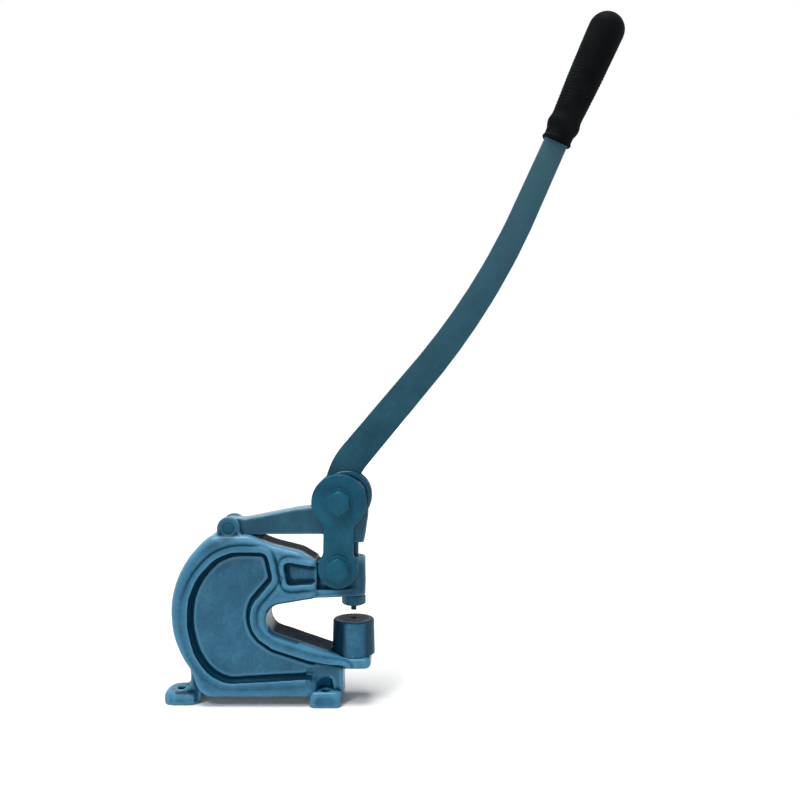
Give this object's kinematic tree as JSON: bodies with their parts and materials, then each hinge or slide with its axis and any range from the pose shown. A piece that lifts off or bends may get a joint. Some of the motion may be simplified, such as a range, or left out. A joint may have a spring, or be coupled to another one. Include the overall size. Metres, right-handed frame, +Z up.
{
  "type": "lever hole punch",
  "caption": "Bench C-frame hole punch: a long hand lever turns eccentric discs that press a pivoted beam and its guided ram and punch down through a die.",
  "frame": {"origin": "on the bench plane, midway between the two front foot bolt holes", "axes": "+X to the punching end, +Z up, +Y across the machine to the nut side"},
  "size_m": [0.4211, 0.0615, 0.6319],
  "materials": {
    "casting_enamel": "glossy blue enamel over rough cast iron",
    "dark_enamel": "glossy blue enamel on plate and fasteners",
    "beam_enamel": "glossy blue enamel over a rough forging",
    "lever_enamel": "semi-gloss grey-blue enamel on flat bar",
    "grip_vinyl": "matt black moulded vinyl",
    "bright_steel": "ground steel, lightly oiled",
    "tool_steel": "dark hardened tool steel",
    "bearing_bronze": "plain bearing bronze"
  },
  "bodies": {
    "frame": {"frame_casting": "casting_enamel", "rear_pivot_pin": "dark_enamel", "side_plate_near": "dark_enamel", "side_plate_far": "dark_enamel", "anchor_bolt": "dark_enamel", "anchor_washers": "dark_enamel", "anchor_nut": "dark_enamel", "fulcrum_bolt": "dark_enamel", "fulcrum_washers": "dark_enamel", "fulcrum_nut": "dark_enamel", "die_holder": "casting_enamel", "die_button": "tool_steel", "die_set_screw": "tool_steel"},
    "lever": {"lever_bar": "lever_enamel", "eccentric_near": "bright_steel", "eccentric_far": "bright_steel", "eccentric_dowels": "bright_steel", "lever_grip": "grip_vinyl"},
    "beam": {"press_beam": "beam_enamel", "beam_bushing": "bearing_bronze", "ram_pin": "bright_steel"},
    "ram": {"ram": "bright_steel", "coupling_nut": "dark_enamel", "punch": "tool_steel"}
  },
  "joints": [
    {"name": "lever_swing", "type": "hinge", "parent": "frame", "child": "lever", "pos_m": [0.012, 0, 0.183], "axis": [0, 1, 0], "range_deg": [0, 74]},
    {"name": "beam_swing", "type": "hinge", "parent": "frame", "child": "beam", "pos_m": [-0.088, 0, 0.159], "axis": [0, 1, 0], "range_deg": [0, 5.1]},
    {"name": "ram_slide", "type": "slide", "parent": "frame", "child": "ram", "axis": [0, 0, -1], "range_m": [0, 0.01]}
  ],
  "couplings": [
    {"joint": "beam_swing", "follows": "lever_swing", "ratio": 0.0689},
    {"joint": "ram_slide", "follows": "lever_swing", "m_per_rad": 0.00774}
  ]
}
